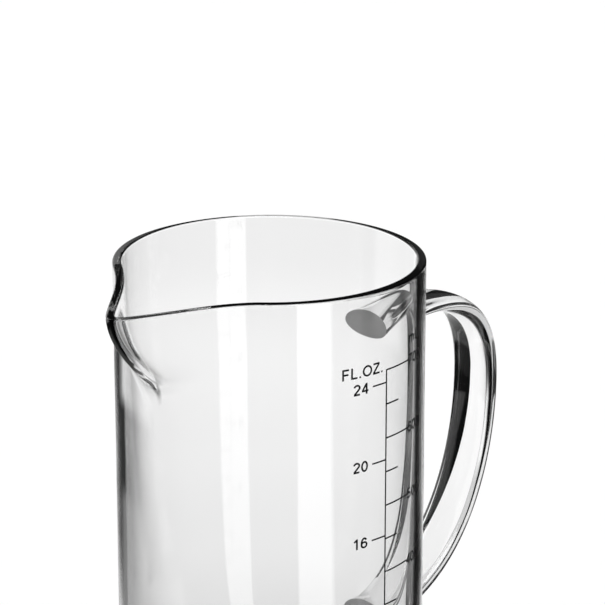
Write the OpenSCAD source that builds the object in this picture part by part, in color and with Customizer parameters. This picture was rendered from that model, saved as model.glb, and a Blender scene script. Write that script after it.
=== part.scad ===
// Measuring jug in clear blown glass, with a pulled pouring lip, a fused strap
// handle and a fired enamel scale.
// Millimetres. The jug stands on Z = 0 with its axis on Z. The lip points along
// -X, the handle along +X and the scale faces -Y.

/* [Body] */
// Outside diameter of the straight wall
body_d = 86; // [76:1:100]
// Height from the table to the rim
body_h = 162; // [150:1:190]
// Thickness of the wall
wall_t = 2.5; // [1.8:0.1:3.2]
// Thickness of the floor above the table
floor_t = 3.2; // [2.4:0.1:5]
// Radius of the outside edge of the base
heel_r = 7; // [5:0.5:9]
// Radius of the inside corner between floor and wall
inner_heel_r = 6; // [4:0.5:9]
// Width of the flat ring that the jug stands on
ring_w = 5; // [3:0.5:8]
// Depth of the dish under the base
dish_depth = 0.9; // [0.4:0.1:1.5]

/* [Pouring lip] */
// How far the tip of the lip stands out from the wall
lip_reach = 17.6; // [10:0.2:22]
// How far the tip of the lip lies below the rim
lip_droop = 3.4; // [0:0.2:6]
// Depth of the lip below its own rim
lip_depth = 22.3; // [18:0.1:32]
// Half of the angle of the wall that the lip is pulled from
lip_half_angle = 40; // [32:1:46]
// How far each face of the lip's stretched glass lies inside the face of the wall
lip_thinning = 0.12; // [0.1:0.01:0.4]

/* [Handle] */
// Width of the strap
strap_w = 15.8; // [12:0.2:20]
// Thickness of the strap
strap_t = 5.8; // [4.6:0.2:8]
// Distance from the rim down to the middle of the upper weld
handle_drop = 29.3; // [26:0.1:36]
// Distance between the middles of the two welds
handle_span = 89.5; // [76:0.5:100]
// Distance from the wall to the strap's centre line at its widest
handle_reach = 46.3; // [36:0.1:56]
// Distance from the upper weld down to the widest point
belly_drop = 26.2; // [22:0.2:34]
// How much wider the strap is where it is welded
weld_flare_w = 1.4; // [0:0.1:3]
// How much thicker the strap is where it is welded
weld_flare_t = 2.2; // [0:0.1:4]

/* [Scale] */
// Width of the enamel lines
line_w = 0.4; // [0.3:0.05:0.8]
// Thickness of the enamel
enamel_t = 0.12; // [0.1:0.01:0.3]
// Length of a line at each hundred millilitres
long_mark_l = 10.2; // [7:0.2:14]
// Length of a line at each fifty millilitres
short_mark_l = 5; // [3:0.2:7]
// Length of a fluid ounce line
oz_mark_l = 4.9; // [3:0.1:8]
// Least distance from the topmost line up to the rim
scale_headroom = 16; // [10:1:20]

/* [Hidden] */
$fn = 144;

// What each cut runs past the faces that it opens
overrun = 1;

// Body sizes that follow from the driving ones
body_r = body_d / 2;
inner_r = body_r - wall_t;
rim_r = wall_t / 2;
dish_r = body_r - heel_r - ring_w;
dish_crown_share = 1.15;
dish_crown = dish_crown_share * dish_depth;
dish_curve_r = (dish_r * dish_r + dish_crown * dish_crown) / (2 * dish_crown);

// The lip: shares of its reach, droop and width, and the counts of its mesh
lip_side = 180;
lip_tip_soft_share = 0.03;
lip_plan_power = 2.65;
lip_droop_power = 1.4;
lip_keel_power = 1.9;
lip_narrowing_power = 3;
lip_column_power = 1.4;
lip_columns = 48;
lip_rows = 16;
lip_rim_steps = 7;
lip_tongue = 1.5;
lip_root_z = body_h - lip_droop - lip_depth;
lip_gap_z = lip_root_z - lip_tongue;
lip_base_z = lip_gap_z - lip_tongue;
lip_rim_r = rim_r - lip_thinning;

// The handle: levers of its two curves as shares of the lengths that they follow
weld_top_z = body_h - handle_drop;
weld_low_z = weld_top_z - handle_span;
belly_z = weld_top_z - belly_drop;
belly_x = body_r + handle_reach;
strap_root_x = inner_r;
top_rise = 9;
low_rise = 2.5;
top_lever_share = 0.64;
shoulder_lever_share = 1.03;
belly_lever_share = 0.47;
low_lever_share = 0.73;
flare_length_share = 0.1;
curve_steps = 28;
strap_sides = 28;

// The scale: volumes are cubes of this edge, which holds one litre
litre_edge = 100;
millilitre = pow(litre_edge, 3) / 1000;
ml_step = 50;
ml_first = 100;
fl_oz_ml = 28.413;
oz_step = 4;
scale_side = 270;
corner_area_share = 1 - PI / 4;
corner_centre_share = 0.2234;
floor_area = PI * inner_r * inner_r;
corner_loss = 2 * PI * (inner_r - corner_centre_share * inner_heel_r)
    * corner_area_share * inner_heel_r * inner_heel_r;
scale_top_z = body_h - scale_headroom;

// Height of the liquid's surface for a volume in millilitres
function fill_z(ml) = floor_t + (ml * millilitre + corner_loss) / floor_area;

// Volume in millilitres up to a height
function fill_ml(z) = ((z - floor_t) * floor_area - corner_loss) / millilitre;

ml_last = 2 * ml_step * floor(fill_ml(scale_top_z) / (2 * ml_step));
oz_last = oz_step * floor(ml_last / (oz_step * fl_oz_ml));

// Angle in degrees that an arc of this length takes on the outside of the wall
function wall_angle(length) = length / body_r * 180 / PI;

// 1 at the middle of the lip and 0 at its edge, with a rounded tip
function lip_share(a) =
    let (soft = lip_tip_soft_share * lip_half_angle)
    1 - (sqrt(a * a + soft * soft) - soft)
        / (sqrt(lip_half_angle * lip_half_angle + soft * soft) - soft);

// Height of the rim at an angle from the middle of the lip
function lip_rim_z(a) = body_h - lip_droop * pow(lip_share(a), lip_droop_power);

// How far the wall is pulled out, at an angle from the middle and a depth below the rim
function lip_pull(a, depth) =
    depth >= lip_depth ? 0 :
    let (
        down = max(0, depth) / lip_depth,
        width = lip_half_angle * sqrt(1 - pow(down, lip_narrowing_power)),
        across = lip_half_angle * min(1, abs(a) / width)
    )
    lip_reach * (1 - pow(down, lip_keel_power)) * pow(lip_share(across), lip_plan_power);

// Angle of a column of the lip's mesh, closer together near its tip
function lip_column(i) =
    let (u = 2 * i / lip_columns - 1)
    lip_half_angle * sign(u) * pow(abs(u), lip_column_power);

// A point of the wall at an angle from the middle of the lip
function lip_point(a, r, z) = [r * cos(lip_side + a), r * sin(lip_side + a), z];

// Upright section through the wall at one angle: up the outside, over the rim, down the inside
function lip_section(a) =
    let (
        top_z = lip_rim_z(a),
        spring_z = top_z - rim_r,
        heights = [
            lip_base_z,
            for (k = [0:lip_rows - 1]) lip_root_z + (spring_z - lip_root_z) * k / (lip_rows - 1)
        ],
        middle_r = [for (z = heights) body_r - rim_r + lip_pull(a, top_z - z)]
    )
    concat(
        [for (k = [0:lip_rows]) lip_point(a, middle_r[k] + lip_rim_r, heights[k])],
        [for (k = [1:lip_rim_steps - 1])
            let (turn = 180 * k / lip_rim_steps)
            lip_point(a, middle_r[lip_rows] + lip_rim_r * cos(turn), spring_z + lip_rim_r * sin(turn))],
        [for (k = [lip_rows:-1:0]) lip_point(a, middle_r[k] - lip_rim_r, heights[k])]
    );

// A point of a cubic curve through four points
function curve_point(p, t) =
    pow(1 - t, 3) * p[0] + 3 * pow(1 - t, 2) * t * p[1] + 3 * (1 - t) * t * t * p[2] + pow(t, 3) * p[3];

// The direction of the same curve
function curve_way(p, t) =
    pow(1 - t, 2) * (p[1] - p[0]) + 2 * (1 - t) * t * (p[2] - p[1]) + t * t * (p[3] - p[2]);

// Centre line of the strap in the XZ plane: over the shoulder, then back to the lower weld
shoulder_curve = [
    [strap_root_x, weld_top_z],
    [strap_root_x + top_lever_share * handle_reach * cos(top_rise),
        weld_top_z + top_lever_share * handle_reach * sin(top_rise)],
    [belly_x, belly_z + shoulder_lever_share * belly_drop],
    [belly_x, belly_z]
];
lower_curve = [
    [belly_x, belly_z],
    [belly_x, belly_z - belly_lever_share * (handle_span - belly_drop)],
    [strap_root_x + low_lever_share * handle_reach * cos(low_rise),
        weld_low_z + low_lever_share * handle_reach * sin(low_rise)],
    [strap_root_x, weld_low_z]
];

// 1 at the wall, falling away along the strap to 0
function flare(x) = exp(-max(0, x - body_r) / (flare_length_share * handle_reach));

// Oval section of the strap, square to a curve at t
function strap_ring(p, t) =
    let (
        c = curve_point(p, t),
        way = curve_way(p, t) / norm(curve_way(p, t)),
        out = [-way[1], way[0]],
        half_t = (strap_t + weld_flare_t * flare(c[0])) / 2,
        half_w = (strap_w + weld_flare_w * flare(c[0])) / 2
    )
    [for (k = [0:strap_sides - 1])
        let (
            turn = 360 * k / strap_sides,
            along = half_t * cos(turn)
        )
        [c[0] + along * out[0], half_w * sin(turn), c[1] + along * out[1]]];

// Closed skin over a row of rings that all have the same even number of points
module loft(rings) {
    sides = len(rings[0]);
    last = len(rings) - 1;
    polyhedron(
        points = [for (ring = rings) each ring],
        faces = concat(
            [for (k = [0:sides / 2 - 2]) [sides - 1 - k, sides - 2 - k, k + 1, k]],
            [for (k = [0:sides / 2 - 2])
                [for (place = [k, k + 1, sides - 2 - k, sides - 1 - k]) last * sides + place]],
            [for (i = [0:last - 1], k = [0:sides - 1])
                let (next = (k + 1) % sides)
                each [
                    [i * sides + k, (i + 1) * sides + next, (i + 1) * sides + k],
                    [i * sides + k, i * sides + next, (i + 1) * sides + next]
                ]]
        )
    );
}

// Half section of a round vessel with a rounded lower edge
module vessel_section(r, h, edge_r) {
    intersection() {
        union() {
            translate([0, edge_r]) square([r, h - edge_r]);
            square([r - edge_r, h]);
            translate([r - edge_r, edge_r]) circle(edge_r);
        }
        square([r, h]);
    }
}

// Half section of the jug without its lip
module body_section() {
    difference() {
        vessel_section(body_r, body_h - rim_r, heel_r);
        translate([0, floor_t]) vessel_section(inner_r, body_h, inner_heel_r);
        intersection() {
            translate([0, dish_crown - dish_curve_r]) circle(dish_curve_r, $fn = 720);
            square([body_r, dish_depth]);
        }
    }
    translate([body_r - rim_r, body_h - rim_r]) circle(rim_r);
}

// The stretch of wall that the lip takes the place of, short of the lip's edges by their tongue
module lip_gap() {
    half_angle = lip_half_angle - wall_angle(lip_tongue);
    rotate([0, 0, lip_side - half_angle])
        rotate_extrude(angle = 2 * half_angle)
            translate([inner_r - overrun, lip_gap_z])
                square([wall_t + 2 * overrun, body_h - lip_gap_z + overrun]);
}

// The wall, its floor and the lip are one piece of glass
module jug_body() {
    color("gainsboro", 0.4) union() {
        difference() {
            rotate_extrude() body_section();
            lip_gap();
        }
        loft([for (i = [0:lip_columns]) lip_section(lip_column(i))]);
    }
}

// The strap is bent from one flat rod, and both ends are shaped to the wall that they fuse to
module handle() {
    rings = concat(
        [for (i = [0:curve_steps]) strap_ring(shoulder_curve, i / curve_steps)],
        [for (i = [1:curve_steps]) strap_ring(lower_curve, i / curve_steps)]
    );
    color("whitesmoke", 0.5) difference() {
        loft(rings);
        cylinder(r = body_r, h = body_h);
    }
}

// A strip of enamel on the wall, from an angle on by a length along the wall
module strip(start_angle, length, z, h) {
    rotate([0, 0, scale_side + start_angle])
        rotate_extrude(angle = wall_angle(length))
            translate([body_r, z])
                square([enamel_t, h]);
}

// Upright line that the marks on both sides start from
module scale_line() {
    low_z = fill_z(ml_first) - line_w / 2;
    high_z = fill_z(ml_last) + line_w / 2;
    color("black") strip(-wall_angle(line_w) / 2, line_w, low_z, high_z - low_z);
}

// Marks to the right of the line
module ml_marks(first, length) {
    for (ml = [first:2 * ml_step:ml_last])
        strip(wall_angle(line_w) / 2, length, fill_z(ml) - line_w / 2, line_w);
}

// Marks at each hundred millilitres
module ml_long_marks() {
    color("black") ml_marks(ml_first, long_mark_l);
}

// Marks half way between them
module ml_short_marks() {
    color("black") ml_marks(ml_first + ml_step, short_mark_l);
}

// Marks to the left of the line, at each four fluid ounces
module fl_oz_marks() {
    color("black")
        for (oz = [oz_step:oz_step:oz_last])
            strip(-wall_angle(line_w) / 2 - wall_angle(oz_mark_l), oz_mark_l,
                fill_z(oz * fl_oz_ml) - line_w / 2, line_w);
}

jug_body();
handle();
scale_line();
ml_long_marks();
ml_short_marks();
fl_oz_marks();
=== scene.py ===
"""Dresses a clear glass measuring jug: its body with a pulled lip, its strap handle and its enamel scale.

Every size is in metres. The jug stands on Z = 0 with its axis on Z, the lip points along -X, the handle
along +X and the scale faces -Y.
"""

import math

import bpy
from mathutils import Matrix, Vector


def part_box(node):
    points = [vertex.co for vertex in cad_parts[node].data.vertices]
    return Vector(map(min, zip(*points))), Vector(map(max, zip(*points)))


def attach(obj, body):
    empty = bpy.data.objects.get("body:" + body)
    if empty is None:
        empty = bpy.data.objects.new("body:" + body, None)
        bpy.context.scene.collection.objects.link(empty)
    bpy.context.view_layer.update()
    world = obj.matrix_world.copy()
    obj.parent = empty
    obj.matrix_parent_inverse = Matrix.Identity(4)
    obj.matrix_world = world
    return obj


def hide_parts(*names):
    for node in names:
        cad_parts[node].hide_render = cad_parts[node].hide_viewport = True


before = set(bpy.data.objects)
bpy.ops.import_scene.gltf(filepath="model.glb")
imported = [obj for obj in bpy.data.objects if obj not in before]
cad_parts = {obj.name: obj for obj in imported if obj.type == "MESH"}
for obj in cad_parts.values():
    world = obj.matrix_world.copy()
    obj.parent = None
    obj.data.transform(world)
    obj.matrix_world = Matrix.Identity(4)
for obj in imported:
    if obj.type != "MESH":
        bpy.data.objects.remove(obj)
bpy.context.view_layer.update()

bl_info = {
    "name": "Glass measuring jug",
    "version": (1, 0, 0),
    "blender": (4, 5, 0),
    "location": "View3D > Sidebar > Jug",
    "description": "Models the glass, the handle, the enamel scale and the stage of a measuring jug",
    "category": "Object",
}

MM = 0.001
MERGE_GAP = 0.001 * MM

# What the frame gives
BODY_LOW, BODY_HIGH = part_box("jug_body")
HANDLE_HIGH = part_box("handle")[1]
LONG_LOW, LONG_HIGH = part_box("ml_long_marks")
OUNCE_LOW, OUNCE_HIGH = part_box("fl_oz_marks")
MARK_NODES = ("scale_line", "ml_long_marks", "ml_short_marks", "fl_oz_marks")

# Rows, columns and sides of the meshes
BODY_COLUMNS = 360
WALL_STEPS = 6
FADE_STEPS = 16
LIP_STEPS = 40
HEEL_STEPS = 12
DISH_STEPS = 8
RIM_STEPS = 6
STRAP_SIDES = 80
STRAP_STEPS = 80
CIRCLE_KNOTS = 4
CUTTER_SIDES = 720
FLOOR_SIDES = 128

# Powers and shares of the formula that pulls the lip, and of the one that crowds the columns there
LIP_POWERS = {"plan": 2.65, "droop": 1.4, "keel": 1.7, "narrowing": 3.0}
LIP_SOFT_SHARES = {"tip": 0.03, "middle": 0.12, "root": 0.75, "fillet": 0.12, "narrowing": 0.3}
LIP_SOFT_POWER = 6
LIP_FADE_SHARE = 0.5
CROWD_SHARE = 0.9
CROWD_POWER = 1.8
# Half of the distance between the points that tell which way the lip's inner face looks
LIP_PROBE = 0.02 * MM

# The dish under the base, and the curves of the strap: their rise from each weld and their levers
DISH_CROWN_SHARE = 1.15
HANDLE_RISES = (math.radians(9), math.radians(2.5))
HANDLE_LEVER_SHARES = {"top": 0.64, "shoulder": 1.03, "belly": 0.47, "low": 0.73}
# The strap is shaded smooth across edges that turn less than this
STRAP_SMOOTH_ANGLE = math.radians(40)

# Finishes
GLASS_IOR = 1.47
GLASS_TONE = 0.99
GLASS_SHADOW_TONE = 0.9
RIPPLE_DETAIL = 1.0
BODY_RIPPLE_SCALE = 60
STRAP_RIPPLE_SCALE = 90
# Grain of the painted shade and the gloss on the welds
WELD_SHADE_GRAIN_SCALE = 220
WELD_ROUGHNESS = (0.3, 0.5)
ENAMEL_GRAIN_SCALE = 1800
ENAMEL_ROUGHNESS = (0.35, 0.55)
ENAMEL_SPECULAR = 0.2
ENAMEL_LIGHT_SHARE = 2.2
CARD_TONE = 0.003

# Distances from the jug's axis, and how bright the floor is there through the glass: a painted shadow
# under and near the jug, and painted light that falls off far out
PAINTED_FLOOR_SHADOW_AND_FALLOFF = ((0.06, 0.42), (0.11, 0.8), (0.2, 0.91), (0.29, 0.955), (0.39, 0.99), (0.55, 0.88))
# Separates a ray that was mirrored at least once from one that was not
HALF_A_BOUNCE = 0.5
BOUNCES = {
    "max_bounces": 64,
    "transmission_bounces": 40,
    "glossy_bounces": 16,
    "transparent_max_bounces": 24,
}
# Where the sun shines from and how wide it is, where the camera stands and which way it looks
SUN_FROM = Vector((-0.35, -0.5, 1))
SUN_ANGLE = math.radians(40)
CAMERA_PLACE = Vector((-0.5827, -0.5549, 0.4052))
CAMERA_LOOK = Vector((0.6974, 0.6493, -0.3035))
# Lens and sensor are in millimetres, as on a real camera
CAMERA_LENS = 182.61
CAMERA_SENSOR = 36

ML_NUMBERS = tuple(range(100, 701, 100))
ML_UNIT = "mL"
OUNCE_NUMBERS = tuple(range(4, 25, 4))
OUNCE_UNIT = "FL.OZ."
# Degrees between the points of a round stroke
BOW_STEP = 15


def bow(x, z, half_width, half_height, start, end):
    """Points of a round stroke about a middle, from one angle to another in degrees."""
    steps = round(abs(end - start) / BOW_STEP)
    turns = [math.radians(start + (end - start) * k / steps) for k in range(steps + 1)]
    return [(x + half_width * math.cos(t), z + half_height * math.sin(t)) for t in turns]


# How far each sign of the print moves the next one along, and the middle lines of its strokes.
# All are shares of the height of the signs.
DIGIT_ADVANCE_SHARE = 0.78
LETTER_ADVANCE_SHARES = {"F": 0.85, "L": 0.78, "O": 1.09, "Z": 0.85, "m": 1.16, ".": 0.39}
STROKE_SHARES = {
    "0": [bow(0.33, 0.5, 0.26, 0.43, 0, 360)],
    "1": [[(0.4, 0), (0.4, 1)], [(0.13, 0.74), (0.28, 0.82), (0.39, 0.95)]],
    "2": [bow(0.33, 0.7, 0.25, 0.23, 170, -30) + [(0.1, 0.1)], [(0.04, 0.07), (0.6, 0.07)]],
    "3": [bow(0.32, 0.735, 0.215, 0.195, 165, -90), bow(0.32, 0.305, 0.25, 0.235, 90, -165)],
    "4": [[(0.49, 0), (0.49, 1)], [(0.47, 0.95), (0.08, 0.31)], [(0.03, 0.29), (0.66, 0.29)]],
    "5": [
        [(0.14, 0.93), (0.58, 0.93)],
        [(0.17, 1), (0.11, 0.45)],
        bow(0.32, 0.32, 0.27, 0.25, 145, -160),
    ],
    "6": [bow(0.335, 0.32, 0.26, 0.25, 0, 360), bow(0.345, 0.45, 0.27, 0.48, 190, 40)],
    "7": [[(0.05, 0.93), (0.62, 0.93)], [(0.58, 0.93), (0.4, 0.6), (0.29, 0.3), (0.25, 0)]],
    "8": [bow(0.33, 0.745, 0.205, 0.185, 0, 360), bow(0.33, 0.315, 0.25, 0.245, 0, 360)],
    "F": [[(0.18, 0), (0.18, 1)], [(0.18, 0.93), (0.74, 0.93)], [(0.18, 0.5), (0.68, 0.5)]],
    "L": [[(0.17, 0), (0.17, 1)], [(0.17, 0.07), (0.7, 0.07)]],
    "O": [bow(0.545, 0.5, 0.41, 0.43, 0, 360)],
    "Z": [[(0.08, 0.93), (0.77, 0.93)], [(0.72, 0.9), (0.11, 0.1)], [(0.05, 0.07), (0.78, 0.07)]],
    "m": [
        [(0.15, 0), (0.15, 0.72)],
        bow(0.345, 0.45, 0.195, 0.2, 180, 0) + [(0.54, 0)],
        bow(0.735, 0.45, 0.195, 0.2, 180, 0) + [(0.93, 0)],
    ],
    ".": [[(0.19, 0), (0.19, 0.15)]],
}


def length(name, description, default):
    """A length that a user can change, in metres."""
    return bpy.props.FloatProperty(
        name=name,
        description=description,
        default=default,
        min=0,
        precision=5,
        unit="LENGTH",
        subtype="DISTANCE",
    )


def place(name, description, default):
    """A place along an axis that a user can change, in metres."""
    return bpy.props.FloatProperty(
        name=name, description=description, default=default, precision=5, unit="LENGTH", subtype="DISTANCE"
    )


def share(name, description, default):
    """A plain number that a user can change."""
    return bpy.props.FloatProperty(name=name, description=description, default=default, min=0, precision=4)


def angle(name, description, degrees):
    """An angle that a user can change, with its default in degrees."""
    return bpy.props.FloatProperty(
        name=name, description=description, default=math.radians(degrees), subtype="ANGLE"
    )


def colour(name, description, default):
    """A colour that a user can change."""
    return bpy.props.FloatVectorProperty(
        name=name, description=description, default=default, min=0, max=1, size=3, subtype="COLOR"
    )


class JugBodyProps(bpy.types.PropertyGroup):
    """Sizes of the blown glass body and its lip."""

    radius: length("Radius", "Outside radius of the straight wall", BODY_HIGH.x)
    height: length("Height", "Height from the table to the rim", BODY_HIGH.z)
    wall: length("Wall", "Thickness of the wall", 2.5 * MM)
    floor: length("Floor", "Thickness of the floor above the table", 3.2 * MM)
    heel: length("Heel", "Radius of the outside edge of the base", 7 * MM)
    inner_heel: length("Inner heel", "Radius of the corner between floor and wall", 6 * MM)
    dish_radius: length("Dish radius", "Radius of the dish under the base", 31 * MM)
    dish_depth: length("Dish depth", "Depth of the dish under the base", 0.9 * MM)
    rim_corner: length("Rim corner", "Radius of the two fire-polished edges of the rim", 0.48 * MM)
    rim_slope: angle("Rim slope", "How steeply the top of the rim falls outwards", 7)
    lip_wall: length("Lip wall", "Thickness of the stretched glass at the tip of the lip", 2.4 * MM)
    lip_droop: length("Lip droop", "How far the tip of the lip lies below the rim", 3.4 * MM)
    lip_depth: length("Lip depth", "Depth of the lip below its own rim", 22.3 * MM)
    lip_half_angle: angle("Lip half angle", "Half of the angle that the lip is pulled from", 40)
    ripple: length("Ripple", "Depth of the unevenness of the glass", 0.03 * MM)


class JugHandleProps(bpy.types.PropertyGroup):
    """Sizes of the strap handle and the painted shade of its welds."""

    strap_width: length("Strap width", "Width of the strap", 15.8 * MM)
    strap_thickness: length("Strap thickness", "Thickness of the strap", 5.8 * MM)
    drop: length("Drop", "From the rim down to the middle of the upper weld", 29.3 * MM)
    span: length("Span", "Between the middles of the two welds", 89.5 * MM)
    belly_drop: length("Belly drop", "From the upper weld down to the widest point", 26.2 * MM)
    flare_width: length("Flare width", "How much wider the strap is at a weld", 1.4 * MM)
    flare_thickness: length("Flare thickness", "How much thicker the strap is at a weld", 2.2 * MM)
    flare_length: length("Flare length", "How fast the flare dies away along the strap", 4.63 * MM)
    seat_gap: length("Seat gap", "Film between a welded end and the wall", 0.03 * MM)
    # The welds' grey is painted shade, standing in for the tone that light through the fused glass gives
    weld_dark: colour("Weld dark", "Darkest tone of the painted shade on the welds", (0.38, 0.38, 0.38))
    weld_light: colour("Weld light", "Lightest tone of the painted shade on the welds", (0.6, 0.6, 0.6))
    ripple: length("Ripple", "Depth of the unevenness of the glass", 0.06 * MM)


class JugPrintProps(bpy.types.PropertyGroup):
    """Sizes and colour of the enamel numerals."""

    digit_height: length("Digit height", "Height of the numerals", 3.05 * MM)
    unit_height: length("Unit height", "Height of the capitals in the unit names", 3.1 * MM)
    digit_spread: share("Digit spread", "How much wider the numerals are than drawn", 1.1)
    unit_spread: share("Unit spread", "How much wider the unit names are than drawn", 1.05)
    stroke: length("Stroke", "Width of the strokes of the numerals and the unit names", 0.52 * MM)
    line_width: length("Line width", "Width of the lines of the scale", 0.4 * MM)
    ml_unit_rise: length("Millilitre unit rise", "From the topmost millilitre line up to mL", 4.6 * MM)
    ounce_unit_end: length("Ounce unit end", "Along the wall from the upright line to FL.OZ.", 1.2 * MM)
    ounce_unit_drop: length("Ounce unit drop", "From the rim down to the foot of FL.OZ.", 22.8 * MM)
    lift: length("Lift", "How far the back of a numeral stands off the wall", 0.02 * MM)
    thickness: length("Thickness", "Thickness of the enamel numerals", 0.06 * MM)
    ml_start: length("Millilitre start", "Along the wall from the upright line to mL numerals", 10.4 * MM)
    ounce_end: length("Ounce end", "Along the wall from the upright line to the ounce numerals", 6.3 * MM)
    enamel: colour("Enamel", "Colour of the fired enamel", (0.005, 0.005, 0.0055))


class JugStageProps(bpy.types.PropertyGroup):
    """Floor, light and black cards of the studio."""

    floor_radius: length("Floor radius", "Radius of the pale floor", 3.0)
    backdrop_height: length("Backdrop height", "Height of the pale wall round the floor", 1.4)
    floor_white: colour("Floor white", "Colour of the floor and the backdrop", (1, 1, 1))
    sky_fill: share("Sky fill", "Brightness of the world on the floor and the print", 0.5)
    sky_dark: share("Sky dark", "Brightness of the world in the glass", 0.03)
    sun_light: share("Sun light", "Strength of the sun", 1.8)
    shadow_share: share("Shadow", "How much of the floor's white takes a shadow from the lamps", 0.2)
    reflected_dark: share("Reflected dark", "Brightness of the floor in reflections", 0.03)
    window_light: share("Window light", "Brightness of the window in reflections", 2.2)
    window_side: angle("Window side", "Where the window stands round the jug, from +X", -104.5)
    window_half: angle("Window half width", "Half of the angle that the window takes", 12.5)
    window_soft: angle("Window softness", "Half of the soft edge of the window", 1.0)
    sweep_side: angle("Sweep side", "Which way the white paper runs from the jug, from +X", 43)
    sweep_half: length("Sweep half width", "Half of the width of the white paper", 0.096)
    sweep_dim: share("Sweep dim", "How much darker the white paper is next to the jug", 0.35)
    flag_soft: length("Flag softness", "Half of the soft edge of the dark floor beside the paper", 0.012)
    left_side: angle("Left side", "Middle of the light floor on the left in reflections, from +X", 105)
    left_half: angle("Left half width", "Half of the width of that light floor", 22)
    left_soft: angle("Left softness", "Half of the soft edge of that light floor", 4)
    left_far: length("Left far", "How far out that light floor starts", 0.37)
    left_light: share("Left light", "Brightness of that light floor", 0.8)
    left_near: length("Left near", "How far out a fainter light next to the jug ends", 0.27)
    left_faint: share("Left faint", "Brightness of that fainter light", 0.19)
    gap_side: angle("Gap side", "Middle of the gap between the paper and that light floor", 67)
    gap_half: angle("Gap half width", "Half of the width of that gap", 16)
    gap_far: length("Gap far", "How far out the floor is light in that gap too", 0.45)
    shade_lean: share("Shade lean", "How far the edge of a shade on the left leans outwards", 0.22)
    shade_start: length("Shade start", "Where that shade starts, across the paper", 0.002)
    shade_full: length("Shade full", "Where that shade is deepest, across the paper", 0.052)
    shade_end: angle("Shade end", "Where that shade starts to fade again", 90)
    shade_gone: angle("Shade gone", "Where that shade is gone", 105)
    shade_depth: share("Shade depth", "How much the shade darkens the floor through the glass", 0.62)
    floor_peak: share("Floor peak", "Brightness of the floor through the glass where it is lightest", 1.06)
    card_start: length("Card start", "Near end of the long black card along X", 0.130)
    card_end: length("Card end", "Far end of the long black card along X", 0.5)
    card_side: length("Card side", "Place of the long black card along Y", 0.03)
    card_height: length("Card height", "Height of the black cards", 0.2)
    short_card_out: length("Short card", "Place of the short black card along X", 0.12)
    short_card_low: place("Short card start", "Near end of the short black card along Y", -0.02)
    short_card_high: place("Short card end", "Far end of the short black card along Y", 0.011)


def clear_selection():
    """Goes to object mode with nothing selected."""
    if bpy.context.object and bpy.context.object.mode != "OBJECT":
        bpy.ops.object.mode_set(mode="OBJECT")
    bpy.ops.object.select_all(action="DESELECT")


def select_only(piece):
    """Makes a piece the one selected and active object."""
    clear_selection()
    piece.select_set(True)
    bpy.context.view_layer.objects.active = piece


def named(name):
    """Names the active object and its data."""
    piece = bpy.context.object
    piece.name = name
    piece.data.name = name
    return piece


def join(pieces):
    """Joins pieces into the first of them, which stays active."""
    clear_selection()
    for piece in pieces:
        piece.select_set(True)
    bpy.context.view_layer.objects.active = pieces[0]
    if len(pieces) > 1:
        bpy.ops.object.join()


def seat(piece, slot, material, *nodes):
    """Puts a finished piece in the frame with its finish."""
    piece.data.materials.clear()
    piece.data.materials.append(material)
    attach(piece, "root")
    if nodes:
        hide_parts(*nodes)


def arc(centre_r, centre_z, radius, start, end, steps):
    """Points of an arc in the XZ plane, both ends included."""
    turns = [math.radians(start + (end - start) * k / steps) for k in range(steps + 1)]
    return [Vector((centre_r + radius * math.cos(t), 0, centre_z + radius * math.sin(t))) for t in turns]


def rising(radius, low, high, steps):
    """Points up a straight wall, without its two ends."""
    return [Vector((radius, 0, low + (high - low) * k / steps)) for k in range(1, steps)]


def draw_line(name, points):
    """Draws a line through points as a chain of extruded vertices and stays in edit mode."""
    clear_selection()
    bpy.ops.mesh.primitive_plane_add(size=MM)
    piece = named(name)
    bpy.ops.object.mode_set(mode="EDIT")
    bpy.ops.mesh.merge(type="CENTER")
    bpy.ops.transform.translate(value=points[0])
    for here, there in zip(points, points[1:]):
        bpy.ops.mesh.extrude_region_move(TRANSFORM_OT_translate={"value": there - here})
    return piece


def eased(value, soft):
    """The value itself where it is well above zero, fading smoothly to zero below."""
    return (value + math.hypot(value, 2 * soft)) / 2


def rim_drop(body):
    """From the top of the rim down to where its outer edge starts to round over."""
    return body.rim_corner + (body.wall - 2 * body.rim_corner) * math.tan(body.rim_slope)


def lip_root(body):
    """Height of the lower end of the lip."""
    return body.height - body.lip_droop - body.lip_depth


def lip_foot(body):
    """Height below which the wall is straight, where the last of the pull has faded."""
    return lip_root(body) - LIP_FADE_SHARE * body.lip_depth


def lip_reach(body):
    """How far the inner face of the wall is pulled out at the tip of the lip."""
    return -BODY_LOW.x - (body.radius - body.wall) - body.lip_wall


def lip_share(turn, half, soft_share):
    """1 at the middle of the lip and 0 at its edge, with a rounded tip."""
    soft = soft_share * half
    return 1 - (math.hypot(turn, soft) - soft) / (math.hypot(half, soft) - soft)


def lip_pull(body, turn, depth):
    """How far the wall is pulled out, at an angle from the middle and a depth below the rim."""
    half = body.lip_half_angle
    down = max(0, depth) / body.lip_depth
    past_root = max(0, min(1, (down - 1) / LIP_FADE_SHARE))
    fade = 1 - past_root ** 2 * (3 - 2 * past_root)
    fillet = LIP_SOFT_SHARES["fillet"]
    keel = fade * eased(1 - down ** LIP_POWERS["keel"], fillet) / eased(1, fillet)
    narrowing = LIP_SOFT_SHARES["narrowing"]
    narrowed = eased(1 - down ** LIP_POWERS["narrowing"], narrowing) / eased(1, narrowing)
    width = half * math.sqrt(narrowed)
    across = half * min(1, abs(turn) / width)
    low = min(1, down)
    soft_share = LIP_SOFT_SHARES["tip"] + LIP_SOFT_SHARES["middle"] * low
    soft_share += LIP_SOFT_SHARES["root"] * low ** LIP_SOFT_POWER
    return lip_reach(body) * keel * lip_share(across, half, soft_share) ** LIP_POWERS["plan"]


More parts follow.
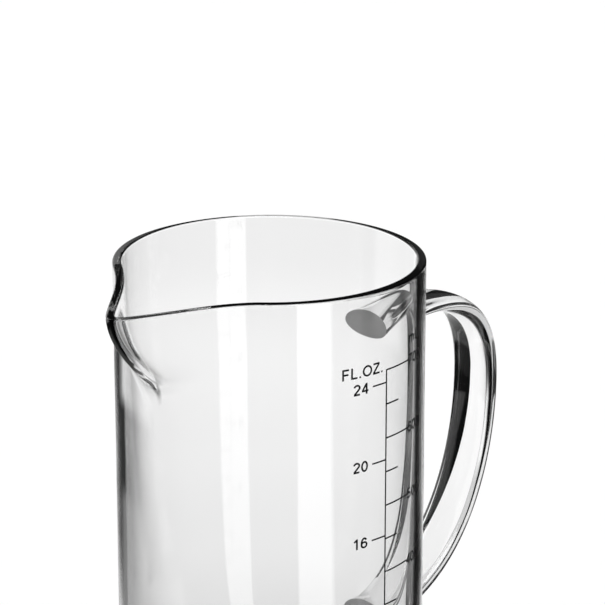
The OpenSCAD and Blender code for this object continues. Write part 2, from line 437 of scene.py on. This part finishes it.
def lip_face(body, turn, height):
    """A point of the pulled inner face of the wall and how far it is pulled."""
    root = lip_root(body)
    spring = body.height - rim_drop(body)
    half = body.lip_half_angle
    inwards = lip_share(min(abs(turn), half), half, LIP_SOFT_SHARES["tip"])
    droop = body.lip_droop * inwards ** LIP_POWERS["droop"]
    z = height - droop * max(0, min(1, (height - root) / (spring - root)))
    pull = lip_pull(body, turn, max(rim_drop(body), body.height - droop - z))
    radius = body.radius - body.wall + pull
    return Vector((-radius * math.cos(turn), radius * math.sin(turn), z)), pull


def pull_lip(body, point):
    """Where a point of the plain round body goes when the lip is pulled.

    The wall stays square to its inner face.
    """
    turn = math.atan2(point.y, -point.x)
    if abs(turn) >= body.lip_half_angle or point.z <= lip_foot(body):
        return point
    face, pull = lip_face(body, turn, point.z)
    probe = LIP_PROBE / body.radius
    across = lip_face(body, turn - probe, point.z)[0] - lip_face(body, turn + probe, point.z)[0]
    up = lip_face(body, turn, point.z + LIP_PROBE)[0] - lip_face(body, turn, point.z - LIP_PROBE)[0]
    outward = across.cross(up).normalized()
    stretch = math.sqrt(max(0, min(1, pull / lip_reach(body))))
    thickness = body.wall - (body.wall - body.lip_wall) * stretch
    layer = (math.hypot(point.x, point.y) - body.radius + body.wall) / body.wall
    return face + outward * thickness * layer


def crowd_to_lip(point):
    """Turns a point about the axis so that the columns stand closer together near the lip."""
    turn = math.atan2(point.y, -point.x)
    part = abs(turn) / math.pi
    closer = (1 - CROWD_SHARE) * part + CROWD_SHARE * part ** CROWD_POWER
    crowded = math.copysign(math.pi * closer, turn)
    radius = math.hypot(point.x, point.y)
    return Vector((-radius * math.cos(crowded), radius * math.sin(crowded), point.z))


def wall_rows(body, radius, low):
    """Points up one face of the wall, close together where the lip is pulled."""
    spring = body.height - rim_drop(body)
    root = lip_root(body)
    foot = lip_foot(body)
    stretches = ((low, foot, WALL_STEPS), (foot, root, FADE_STEPS), (root, spring, LIP_STEPS))
    rows = []
    for start, end, steps in stretches:
        rows += rising(radius, start, end, steps) + [Vector((radius, 0, end))]
    return rows[:-1]


def rim_points(body):
    """Points over the fire-polished rim: its outer edge, its sloping top and its inner edge."""
    corner = body.rim_corner
    lean = 90 - math.degrees(body.rim_slope)
    outer = arc(body.radius - corner, body.height - rim_drop(body), corner, 0, lean, RIM_STEPS)
    inner = arc(body.radius - body.wall + corner, body.height - corner, corner, lean, 180, RIM_STEPS)
    top = [outer[-1].lerp(inner[0], k / RIM_STEPS) for k in range(1, RIM_STEPS)]
    return outer + top + inner


def body_section(body):
    """Half section of the jug without its lip, from the middle of its underside to that of its floor."""
    inner = body.radius - body.wall
    crown = DISH_CROWN_SHARE * body.dish_depth
    curve = (body.dish_radius ** 2 + crown ** 2) / (2 * crown)
    flat = math.sqrt(curve ** 2 - (body.dish_depth - crown + curve) ** 2)
    dish = [flat + (body.dish_radius - flat) * k / DISH_STEPS for k in range(DISH_STEPS + 1)]
    inner_low = body.floor + body.inner_heel
    outer_rows = wall_rows(body, body.radius, body.heel)
    inner_rows = wall_rows(body, inner, inner_low)
    return [
        Vector((0, 0, body.dish_depth)),
        *[Vector((r, 0, crown - curve + math.sqrt(curve ** 2 - r ** 2))) for r in dish],
        *arc(body.radius - body.heel, body.heel, body.heel, -90, 0, HEEL_STEPS),
        *outer_rows,
        *rim_points(body),
        *reversed(inner_rows),
        *arc(inner - body.inner_heel, inner_low, body.inner_heel, 0, -90, HEEL_STEPS),
        Vector((0, 0, body.floor)),
    ]


def grey(tone):
    """A neutral colour, opaque."""
    return (tone, tone, tone, 1)


def ripple_group():
    """Node group: the soft unevenness of a surface that was shaped hot."""
    name = "Hot glass ripple"
    if name in bpy.data.node_groups:
        return bpy.data.node_groups[name]
    group = bpy.data.node_groups.new(name, "ShaderNodeTree")
    group.interface.new_socket("Scale", in_out="INPUT", socket_type="NodeSocketFloat")
    group.interface.new_socket("Height", in_out="OUTPUT", socket_type="NodeSocketFloat")
    nodes, link = group.nodes, group.links.new
    given = nodes.new("NodeGroupInput")
    given_out = nodes.new("NodeGroupOutput")
    coords = nodes.new("ShaderNodeTexCoord")
    noise = nodes.new("ShaderNodeTexNoise")
    noise.inputs["Detail"].default_value = RIPPLE_DETAIL
    link(coords.outputs["Object"], noise.inputs["Vector"])
    link(given.outputs["Scale"], noise.inputs["Scale"])
    link(noise.outputs["Fac"], given_out.inputs["Height"])
    return group


def new_material(name):
    """An empty node material with its Principled shader."""
    material = bpy.data.materials.new(name)
    material.use_nodes = True
    shader = material.node_tree.nodes["Principled BSDF"]
    return material, material.node_tree.nodes, material.node_tree.links.new, shader


def clear_glass(name, ripple_scale, ripple_depth):
    """Clear glass with the faint ripple of hot working."""
    material, nodes, link, shader = new_material(name)
    shader.inputs["Roughness"].default_value = 0.0
    shader.inputs["IOR"].default_value = GLASS_IOR
    shader.inputs["Transmission Weight"].default_value = 1.0
    shader.inputs["Base Color"].default_value = grey(GLASS_TONE)
    ripple = nodes.new("ShaderNodeGroup")
    ripple.node_tree = ripple_group()
    ripple.inputs["Scale"].default_value = ripple_scale
    bump = nodes.new("ShaderNodeBump")
    bump.inputs["Strength"].default_value = 1.0
    bump.inputs["Distance"].default_value = ripple_depth
    link(ripple.outputs["Height"], bump.inputs["Height"])
    link(bump.outputs["Normal"], shader.inputs["Normal"])
    path = nodes.new("ShaderNodeLightPath")
    through = nodes.new("ShaderNodeBsdfTransparent")
    through.inputs["Color"].default_value = grey(GLASS_SHADOW_TONE)
    mix = nodes.new("ShaderNodeMixShader")
    link(path.outputs["Is Shadow Ray"], mix.inputs["Fac"])
    link(shader.outputs["BSDF"], mix.inputs[1])
    link(through.outputs["BSDF"], mix.inputs[2])
    link(mix.outputs["Shader"], nodes["Material Output"].inputs["Surface"])
    return material


def mottled(name, grain_scale, dark, light, roughness):
    """A material whose tone and gloss change a little over the surface, and its shader."""
    material, nodes, link, shader = new_material(name)
    coords = nodes.new("ShaderNodeTexCoord")
    noise = nodes.new("ShaderNodeTexNoise")
    noise.inputs["Scale"].default_value = grain_scale
    tone = nodes.new("ShaderNodeValToRGB")
    tone.color_ramp.elements[0].color = (*dark, 1)
    tone.color_ramp.elements[1].color = (*light, 1)
    gloss = nodes.new("ShaderNodeMapRange")
    gloss.inputs["To Min"].default_value = roughness[0]
    gloss.inputs["To Max"].default_value = roughness[1]
    link(coords.outputs["Object"], noise.inputs["Vector"])
    link(noise.outputs["Fac"], tone.inputs["Fac"])
    link(noise.outputs["Fac"], gloss.inputs["Value"])
    link(tone.outputs["Color"], shader.inputs["Base Color"])
    link(gloss.outputs["Result"], shader.inputs["Roughness"])
    return material, shader


def clouded_weld(handle):
    """Painted shade of a weld: an opaque, uneven grey that stands in for the tone the fused glass shows.
    """
    tones = (handle.weld_dark, handle.weld_light)
    return mottled("Clouded weld", WELD_SHADE_GRAIN_SCALE, *tones, WELD_ROUGHNESS)[0]


def fired_enamel():
    """The one black enamel of the marks and the numerals, uneven in gloss and in depth of colour."""
    name = "Fired enamel"
    if name in bpy.data.materials:
        return bpy.data.materials[name]
    dark = bpy.context.scene.jug_print.enamel
    light = [ENAMEL_LIGHT_SHARE * part for part in dark]
    material, shader = mottled(name, ENAMEL_GRAIN_SCALE, dark, light, ENAMEL_ROUGHNESS)
    shader.inputs["Specular IOR Level"].default_value = ENAMEL_SPECULAR
    return material


class JUG_OT_body(bpy.types.Operator):
    """Spins the section of the jug and pulls its pouring lip"""

    bl_idname = "jug.body"
    bl_label = "Glass body"

    def execute(self, context):
        body = context.scene.jug_body
        piece = draw_line("blown_body", body_section(body))
        bpy.ops.mesh.select_all(action="SELECT")
        bpy.ops.mesh.spin(steps=BODY_COLUMNS, angle=2 * math.pi, center=(0, 0, 0), axis=(0, 0, 1))
        bpy.ops.mesh.select_all(action="SELECT")
        bpy.ops.mesh.remove_doubles(threshold=MERGE_GAP)
        bpy.ops.mesh.normals_make_consistent(inside=False)
        bpy.ops.object.mode_set(mode="OBJECT")
        for vertex in piece.data.vertices:
            vertex.co = pull_lip(body, crowd_to_lip(vertex.co))
        bpy.ops.object.shade_smooth()
        glass = clear_glass("Blown glass", BODY_RIPPLE_SCALE, body.ripple)
        seat(piece, "body_glass", glass, "jug_body")
        return {"FINISHED"}


def strap_curves(body, handle):
    """The two cubic curves of the strap's centre line: over the shoulder, then back to the lower weld."""
    root = body.radius - body.wall
    belly_x = HANDLE_HIGH.x - handle.strap_thickness / 2
    reach = belly_x - body.radius
    top_z = body.height - handle.drop
    low_z = top_z - handle.span
    belly_z = top_z - handle.belly_drop
    top_rise, low_rise = HANDLE_RISES
    levers = HANDLE_LEVER_SHARES
    belly = Vector((belly_x, 0, belly_z))
    top = Vector((root, 0, top_z))
    low = Vector((root, 0, low_z))
    up = Vector((0, 0, 1))
    shoulder = [
        top,
        top + levers["top"] * reach * Vector((math.cos(top_rise), 0, math.sin(top_rise))),
        belly + levers["shoulder"] * handle.belly_drop * up,
        belly,
    ]
    lower = [
        belly,
        belly - levers["belly"] * (handle.span - handle.belly_drop) * up,
        low + levers["low"] * reach * Vector((math.cos(low_rise), 0, math.sin(low_rise))),
        low,
    ]
    return shoulder, lower


def strap_oval(handle):
    """The oval section of the strap, as a curve."""
    clear_selection()
    bpy.ops.curve.primitive_bezier_circle_add(radius=1)
    oval = named("strap_section")
    oval.scale = (handle.strap_width / 2, handle.strap_thickness / 2, 1)
    oval.data.resolution_u = STRAP_SIDES // CIRCLE_KNOTS
    bpy.ops.object.transform_apply(location=False, rotation=False, scale=True)
    return oval


def sweep_strap(oval, shoulder, lower):
    """Sweeps the oval along the two curves and makes the strap a mesh."""
    clear_selection()
    bpy.ops.curve.primitive_bezier_curve_add()
    path = named("strap")
    spline = path.data.splines[0]
    spline.bezier_points.add(1)
    knots = (
        (shoulder[0], shoulder[0], shoulder[1]),
        (shoulder[2], shoulder[3], lower[1]),
        (lower[2], lower[3], lower[3]),
    )
    for knot, (before, middle, after) in zip(spline.bezier_points, knots):
        knot.handle_left_type = "FREE"
        knot.handle_right_type = "FREE"
        knot.handle_left = before
        knot.co = middle
        knot.handle_right = after
    path.data.resolution_u = STRAP_STEPS
    path.data.bevel_mode = "OBJECT"
    path.data.bevel_object = oval
    path.data.use_fill_caps = True
    bpy.ops.object.convert(target="MESH")
    return named("strap")


def flare_ends(piece, body, handle):
    """Widens the rings of the swept strap towards the wall, where the soft glass spread."""
    vertices = piece.data.vertices
    for start in range(0, len(vertices) - STRAP_SIDES + 1, STRAP_SIDES):
        ring = vertices[start:start + STRAP_SIDES]
        centre = sum((vertex.co for vertex in ring), Vector()) / STRAP_SIDES
        near = math.exp(-max(0, centre.x - body.radius) / handle.flare_length)
        wide = 1 + handle.flare_width / handle.strap_width * near
        thick = 1 + handle.flare_thickness / handle.strap_thickness * near
        for vertex in ring:
            off = vertex.co - centre
            vertex.co = centre + Vector((off.x * thick, off.y * wide, off.z * thick))


def cut_to_wall(piece, body, handle):
    """Cuts both ends of the strap to the round of the wall."""
    clear_selection()
    bpy.ops.mesh.primitive_cylinder_add(
        vertices=CUTTER_SIDES,
        radius=body.radius + handle.seat_gap,
        depth=2 * body.height,
    )
    wall = named("wall_cutter")
    select_only(piece)
    cut = piece.modifiers.new("Seat", "BOOLEAN")
    cut.operation = "DIFFERENCE"
    cut.solver = "EXACT"
    cut.object = wall
    bpy.ops.object.modifier_apply(modifier=cut.name)
    bpy.data.objects.remove(wall)


def cloud_welds(piece, material, radius):
    """Gives the faces that lie on the wall the painted shade of a weld."""
    piece.data.materials.append(material)
    for face in piece.data.polygons:
        if all(math.hypot(*piece.data.vertices[k].co.xy) < radius for k in face.vertices):
            face.material_index = len(piece.data.materials) - 1


class JUG_OT_handle(bpy.types.Operator):
    """Sweeps the oval strap along its curve and shapes both ends to the wall"""

    bl_idname = "jug.handle"
    bl_label = "Strap handle"

    def execute(self, context):
        body = context.scene.jug_body
        handle = context.scene.jug_handle
        oval = strap_oval(handle)
        piece = sweep_strap(oval, *strap_curves(body, handle))
        bpy.data.objects.remove(oval)
        flare_ends(piece, body, handle)
        cut_to_wall(piece, body, handle)
        bpy.ops.object.shade_smooth_by_angle(angle=STRAP_SMOOTH_ANGLE)
        glass = clear_glass("Flame worked glass", STRAP_RIPPLE_SCALE, handle.ripple)
        seat(piece, "handle_glass", glass, "handle")
        # The welds get an opaque grey: painted shade in place of the clear fused glass
        cloud_welds(piece, clouded_weld(handle), body.radius + 2 * handle.seat_gap)
        return {"FINISHED"}


class JUG_OT_marks(bpy.types.Operator):
    """Gives the lines of the scale their enamel"""

    bl_idname = "jug.marks"
    bl_label = "Scale lines"

    def execute(self, context):
        for name in MARK_NODES:
            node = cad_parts[name]
            node.data.materials.clear()
            node.data.materials.append(fired_enamel())
        return {"FINISHED"}


def draw_glyph(sign, height, stroke, thickness):
    """One sign of the print, its strokes standing flat in the XZ plane and facing -Y."""
    made = []
    for points in STROKE_SHARES[sign]:
        made.append(draw_line("stroke", [Vector((x, 0, z)) * height for x, z in points]))
        bpy.ops.mesh.select_all(action="SELECT")
        bpy.ops.mesh.remove_doubles(threshold=MERGE_GAP)
        bpy.ops.mesh.select_all(action="SELECT")
        bpy.ops.mesh.extrude_region_move(TRANSFORM_OT_translate={"value": (0, -thickness, 0)})
        bpy.ops.object.mode_set(mode="OBJECT")
    join(made)
    glyph = bpy.context.object
    wide = glyph.modifiers.new("Stroke", "SOLIDIFY")
    wide.thickness = stroke
    wide.offset = 0
    wide.use_even_offset = True
    bpy.ops.object.modifier_apply(modifier=wide.name)
    bpy.ops.object.mode_set(mode="EDIT")
    bpy.ops.mesh.select_all(action="SELECT")
    bpy.ops.mesh.normals_make_consistent(inside=False)
    bpy.ops.object.mode_set(mode="OBJECT")
    return glyph


def label_length(words, height):
    """How far a label runs along the wall, as drawn."""
    return height * sum(LETTER_ADVANCE_SHARES.get(sign, DIGIT_ADVANCE_SHARE) for sign in words)


def number_feet(numbers, low, high, prints):
    """Height of the foot of each number, whose middle is level with its line."""
    first = low + prints.line_width / 2
    last = high - prints.line_width / 2
    steps = len(numbers) - 1
    return [first + (last - first) * k / steps - prints.digit_height / 2 for k in range(steps + 1)]


def ml_labels(prints):
    """Labels of the millilitre scale: words, height, spread, start along the wall and foot of each."""
    rows = []
    for number, foot in zip(ML_NUMBERS, number_feet(ML_NUMBERS, LONG_LOW.z, LONG_HIGH.z, prints)):
        rows.append((str(number), prints.digit_height, prints.digit_spread, prints.ml_start, foot))
    unit_foot = LONG_HIGH.z - prints.line_width / 2 + prints.ml_unit_rise
    rows.append((ML_UNIT, prints.unit_height, prints.unit_spread, prints.ml_start, unit_foot))
    return rows


def ounce_labels(body, prints):
    """Labels of the fluid ounce scale in the same form. Its numbers end at one place along the wall."""
    rows = []
    for number, foot in zip(OUNCE_NUMBERS, number_feet(OUNCE_NUMBERS, OUNCE_LOW.z, OUNCE_HIGH.z, prints)):
        start = -prints.ounce_end - prints.digit_spread * label_length(str(number), prints.digit_height)
        rows.append((str(number), prints.digit_height, prints.digit_spread, start, foot))
    unit_start = -prints.ounce_unit_end - prints.unit_spread * label_length(OUNCE_UNIT, prints.unit_height)
    unit_foot = body.height - prints.ounce_unit_drop
    rows.append((OUNCE_UNIT, prints.unit_height, prints.unit_spread, unit_start, unit_foot))
    return rows


def bend_label(words, glyphs, height, spread, start, foot, radius):
    """Copies the signs of a label side by side and bends them round the wall."""
    made = []
    for sign in words:
        piece = glyphs[sign].copy()
        piece.data = glyphs[sign].data.copy()
        bpy.context.collection.objects.link(piece)
        for vertex in piece.data.vertices:
            turn = (start + vertex.co.x * spread) / radius
            out = radius - vertex.co.y
            vertex.co = Vector((out * math.sin(turn), -out * math.cos(turn), vertex.co.z + foot))
        made.append(piece)
        start += spread * label_length(sign, height)
    return made


def print_labels(name, rows, body, prints):
    """Draws each sign of the labels once, copies it to its places and joins the copies into one piece."""
    heights = {sign: height for words, height, *_ in rows for sign in words}
    glyphs = {}
    for sign, height in heights.items():
        glyphs[sign] = draw_glyph(sign, height, prints.stroke, prints.thickness)
    made = []
    for words, height, spread, start, foot in rows:
        made += bend_label(words, glyphs, height, spread, start, foot, body.radius + prints.lift)
    join(made)
    seat(named(name), "scale_enamel", fired_enamel())
    for glyph in glyphs.values():
        bpy.data.objects.remove(glyph)


class JUG_OT_numerals(bpy.types.Operator):
    """Prints the numerals and the unit names round the wall"""

    bl_idname = "jug.numerals"
    bl_label = "Numerals"

    def execute(self, context):
        body = context.scene.jug_body
        prints = context.scene.jug_print
        print_labels("ml_numerals", ml_labels(prints), body, prints)
        print_labels("fl_oz_numerals", ounce_labels(body, prints), body, prints)
        return {"FINISHED"}


def math_node(nodes, link, operation, *inputs):
    """A Math node whose inputs are sockets or plain numbers."""
    node = nodes.new("ShaderNodeMath")
    node.operation = operation
    for socket, value in zip(node.inputs, inputs):
        if isinstance(value, (int, float)):
            socket.default_value = value
        else:
            link(value, socket)
    return node.outputs[0]


def step(nodes, link, value, none, full):
    """A smooth step of a value: 0 at one place and 1 at another."""
    edge = nodes.new("ShaderNodeMapRange")
    edge.interpolation_type = "SMOOTHSTEP"
    edge.inputs["From Min"].default_value = none
    edge.inputs["From Max"].default_value = full
    link(value, edge.inputs["Value"])
    return edge.outputs["Result"]


def sector(nodes, link, side, middle, half, soft):
    """1 where an angle round the jug lies in a sector, 0 outside it, with soft edges."""
    off = math_node(nodes, link, "ABSOLUTE", math_node(nodes, link, "SUBTRACT", side, middle))
    return step(nodes, link, off, half + soft, half - soft)


def projection(nodes, link, point, direction):
    """How far a point lies along a direction."""
    dot = nodes.new("ShaderNodeVectorMath")
    dot.operation = "DOT_PRODUCT"
    dot.inputs[1].default_value = direction
    link(point, dot.inputs[0])
    return dot.outputs["Value"]


def seen_in_glass(nodes, link, path):
    """1 for what shows in or through the glass, 0 for what is seen or lit directly."""
    return math_node(
        nodes, link, "MAXIMUM", path.outputs["Is Glossy Ray"], path.outputs["Is Transmission Ray"]
    )


def floor_places(nodes, link, stage):
    """Where a point of the floor lies: its angle and distance from the jug, along and across the paper."""
    point = nodes.new("ShaderNodeTexCoord").outputs["Object"]
    split = nodes.new("ShaderNodeSeparateXYZ")
    link(point, split.inputs[0])
    away = nodes.new("ShaderNodeVectorMath")
    away.operation = "LENGTH"
    link(point, away.inputs[0])
    along = Vector((math.cos(stage.sweep_side), math.sin(stage.sweep_side), 0))
    side = math_node(nodes, link, "ARCTAN2", split.outputs["Y"], split.outputs["X"])
    ahead = projection(nodes, link, point, along)
    across = projection(nodes, link, point, Vector((-along.y, along.x, 0)))
    return side, away.outputs["Value"], ahead, across


def floor_in_reflections(nodes, link, stage, places):
    """How bright the floor is where the glass mirrors it: the window, the paper and the left light."""
    side, away, ahead, across = places
    soft = stage.flag_soft
    window = sector(nodes, link, side, stage.window_side, stage.window_half, stage.window_soft)
    window_lit = math_node(nodes, link, "MULTIPLY_ADD", window, stage.window_light, stage.reflected_dark)
    gap = sector(nodes, link, side, stage.gap_side, stage.gap_half, stage.left_soft)
    farthest = step(nodes, link, away, stage.gap_far - soft, stage.gap_far + soft)
    gap_light = math_node(nodes, link, "MULTIPLY", farthest, stage.left_light)
    lit = math_node(nodes, link, "MULTIPLY_ADD", gap, gap_light, window_lit)
    near = step(nodes, link, away, stage.left_near + soft, stage.left_near - soft)
    behind = step(nodes, link, ahead, 0, soft)
    off_middle = math_node(nodes, link, "ABSOLUTE", across)
    paper = step(nodes, link, off_middle, stage.sweep_half + soft, stage.sweep_half - soft)
    dimmed = math_node(nodes, link, "MULTIPLY_ADD", near, -stage.sweep_dim, 1.0)
    bright = math_node(nodes, link, "MULTIPLY", paper, dimmed)
    white = math_node(nodes, link, "MULTIPLY_ADD", behind, bright, lit)
    left = sector(nodes, link, side, stage.left_side, stage.left_half, stage.left_soft)
    far = step(nodes, link, away, stage.left_far - soft, stage.left_far + soft)
    faint = math_node(nodes, link, "MULTIPLY", near, stage.left_faint)
    glow = math_node(nodes, link, "MULTIPLY_ADD", far, stage.left_light, faint)
    return math_node(nodes, link, "MULTIPLY_ADD", left, glow, white)


def floor_through_glass(nodes, link, stage, places):
    """How bright the floor is through the glass: its painted shadow and fall-off by distance, less the
    shade on the left.
    """
    side, away, _, across = places
    # Painted shadow near the jug and painted fall-off of light far out, by distance from the axis
    tone = nodes.new("ShaderNodeValToRGB")
    tone.color_ramp.interpolation = "EASE"
    stops = tone.color_ramp.elements
    for distance, _ in PAINTED_FLOOR_SHADOW_AND_FALLOFF[1:-1]:
        stops.new(distance)
    for stop, (distance, brightness) in zip(stops, PAINTED_FLOOR_SHADOW_AND_FALLOFF):
        stop.position = distance
        stop.color = grey(brightness)
    link(away, tone.inputs["Fac"])
    open_floor = math_node(nodes, link, "MULTIPLY", tone.outputs["Color"], stage.floor_peak)
    leaning = math_node(nodes, link, "MULTIPLY_ADD", away, -stage.shade_lean, across)
    shade_in = step(nodes, link, leaning, stage.shade_start, stage.shade_full)
    shade_out = step(nodes, link, side, stage.shade_gone, stage.shade_end)
    shade = math_node(nodes, link, "MULTIPLY", shade_in, shade_out)
    unshaded = math_node(nodes, link, "MULTIPLY_ADD", shade, -stage.shade_depth, 1.0)
    return math_node(nodes, link, "MULTIPLY", open_floor, unshaded)


def floor_material(stage):
    """Pale floor: white to the eye and through the glass, dim in its reflections, with the shadow kept."""
    material, nodes, link, shader = new_material("Pale floor")
    nodes.remove(shader)
    path = nodes.new("ShaderNodeLightPath")
    places = floor_places(nodes, link, stage)
    reflected = math_node(nodes, link, "GREATER_THAN", path.outputs["Glossy Depth"], HALF_A_BOUNCE)
    glass_view = nodes.new("ShaderNodeMix")
    link(reflected, glass_view.inputs["Factor"])
    link(floor_through_glass(nodes, link, stage, places), glass_view.inputs["A"])
    link(floor_in_reflections(nodes, link, stage, places), glass_view.inputs["B"])
    in_glass = seen_in_glass(nodes, link, path)
    level = nodes.new("ShaderNodeMix")
    level.inputs["A"].default_value = 1.0
    link(in_glass, level.inputs["Factor"])
    link(glass_view.outputs["Result"], level.inputs["B"])
    diffuse = nodes.new("ShaderNodeBsdfDiffuse")
    diffuse.inputs["Color"].default_value = (*stage.floor_white, 1)
    shine = nodes.new("ShaderNodeEmission")
    shine.inputs["Color"].default_value = (*stage.floor_white, 1)
    link(level.outputs["Result"], shine.inputs["Strength"])
    own_share = 1 - stage.shadow_share
    keep = math_node(nodes, link, "MULTIPLY_ADD", path.outputs["Is Camera Ray"], own_share, in_glass)
    mix = nodes.new("ShaderNodeMixShader")
    link(keep, mix.inputs["Fac"])
    link(diffuse.outputs["BSDF"], mix.inputs[1])
    link(shine.outputs["Emission"], mix.inputs[2])
    link(mix.outputs["Shader"], nodes["Material Output"].inputs["Surface"])
    return material


def lay_floor(stage):
    """The round pale floor and the wall round it."""
    white = floor_material(stage)
    clear_selection()
    bpy.ops.mesh.primitive_circle_add(vertices=FLOOR_SIDES, radius=stage.floor_radius, fill_type="NGON")
    floor = named("floor")
    floor.data.materials.append(white)
    clear_selection()
    bpy.ops.mesh.primitive_cylinder_add(
        vertices=FLOOR_SIDES,
        radius=stage.floor_radius,
        depth=stage.backdrop_height,
        end_fill_type="NOTHING",
        location=(0, 0, stage.backdrop_height / 2),
    )
    backdrop = named("backdrop")
    backdrop.data.materials.append(white)
    return floor, backdrop


def black_card_material():
    """Matt black card."""
    material, _, _, shader = new_material("Black card")
    shader.inputs["Base Color"].default_value = grey(CARD_TONE)
    shader.inputs["Roughness"].default_value = 1.0
    shader.inputs["Specular IOR Level"].default_value = 0.0
    return material


def dark_card(name, material, start, end, height):
    """An upright card that shows only through the glass, where it draws the dark edges of the handle."""
    clear_selection()
    bpy.ops.mesh.primitive_plane_add(size=1)
    card = named(name)
    for vertex in card.data.vertices:
        foot = Vector(start if vertex.co.x < 0 else end)
        vertex.co = foot.to_3d() + Vector((0, 0, height if vertex.co.y > 0 else 0))
    card.data.materials.append(material)
    card.visible_camera = False
    card.visible_diffuse = False
    card.visible_glossy = False
    card.visible_shadow = False
    return card


def stand_cards(stage):
    """Two black cards past the handle: a long one that runs away from it and a short one across it."""
    black = black_card_material()
    side = stage.card_side
    out = stage.short_card_out
    long_ends = ((stage.card_start, side), (stage.card_end, side))
    short_ends = ((out, stage.short_card_low), (out, stage.short_card_high))
    long_card = dark_card("long_card", black, *long_ends, stage.card_height)
    short_card = dark_card("short_card", black, *short_ends, stage.card_height)
    return long_card, short_card


def light_studio(scene, stage):
    """A plain world that is dim in the glass, and one soft sun from above."""
    world = bpy.data.worlds.new("Studio")
    scene.world = world
    world.use_nodes = True
    nodes, link = world.node_tree.nodes, world.node_tree.links.new
    background = nodes["Background"]
    path = nodes.new("ShaderNodeLightPath")
    level = nodes.new("ShaderNodeMix")
    level.inputs["A"].default_value = stage.sky_fill
    level.inputs["B"].default_value = stage.sky_dark
    link(seen_in_glass(nodes, link, path), level.inputs["Factor"])
    link(level.outputs["Result"], background.inputs["Strength"])
    background.inputs["Color"].default_value = (1, 1, 1, 1)
    clear_selection()
    bpy.ops.object.light_add(type="SUN")
    sun = named("soft_sun")
    sun.data.energy = stage.sun_light
    sun.data.angle = SUN_ANGLE
    sun.rotation_mode = "QUATERNION"
    sun.rotation_quaternion = SUN_FROM.to_track_quat("Z", "Y")


def place_camera(scene):
    """The camera, with enough bounces for light to pass both walls and the handle."""
    clear_selection()
    bpy.ops.object.camera_add(location=CAMERA_PLACE)
    camera = named("camera")
    camera.data.sensor_width = CAMERA_SENSOR
    camera.data.lens = CAMERA_LENS
    camera.rotation_mode = "QUATERNION"
    camera.rotation_quaternion = CAMERA_LOOK.to_track_quat("-Z", "Y")
    scene.camera = camera
    scene.view_settings.view_transform = "Standard"
    for kind, count in BOUNCES.items():
        setattr(scene.cycles, kind, count)


class JUG_OT_stage(bpy.types.Operator):
    """Sets up the floor, the cards, the light and the camera"""

    bl_idname = "jug.stage"
    bl_label = "Stage"

    def execute(self, context):
        stage = context.scene.jug_stage
        floor, backdrop = lay_floor(stage)
        long_card, short_card = stand_cards(stage)
        light_studio(context.scene, stage)
        place_camera(context.scene)
        return {"FINISHED"}


class JUG_PT_panel(bpy.types.Panel):
    """Lists the pieces of the jug"""

    bl_idname = "JUG_PT_panel"
    bl_label = "Measuring jug"
    bl_space_type = "VIEW_3D"
    bl_region_type = "UI"
    bl_category = "Jug"

    def draw(self, context):
        for operator in OPERATORS:
            self.layout.operator(operator.bl_idname)


PROPS = {
    "jug_body": JugBodyProps,
    "jug_handle": JugHandleProps,
    "jug_print": JugPrintProps,
    "jug_stage": JugStageProps,
}
OPERATORS = (JUG_OT_body, JUG_OT_handle, JUG_OT_marks, JUG_OT_numerals, JUG_OT_stage)


def register():
    """Makes the sizes, the operators and the panel known."""
    for kind in (*PROPS.values(), *OPERATORS, JUG_PT_panel):
        bpy.utils.register_class(kind)
    for name, kind in PROPS.items():
        setattr(bpy.types.Scene, name, bpy.props.PointerProperty(type=kind))


def unregister():
    """Takes them away again."""
    for name in PROPS:
        delattr(bpy.types.Scene, name)
    for kind in reversed((*PROPS.values(), *OPERATORS, JUG_PT_panel)):
        bpy.utils.unregister_class(kind)


def main():
    """Builds the jug and its stage."""
    register()
    bpy.ops.jug.body()
    bpy.ops.jug.handle()
    bpy.ops.jug.marks()
    bpy.ops.jug.numerals()
    bpy.ops.jug.stage()


if __name__ == "__main__":
    main()
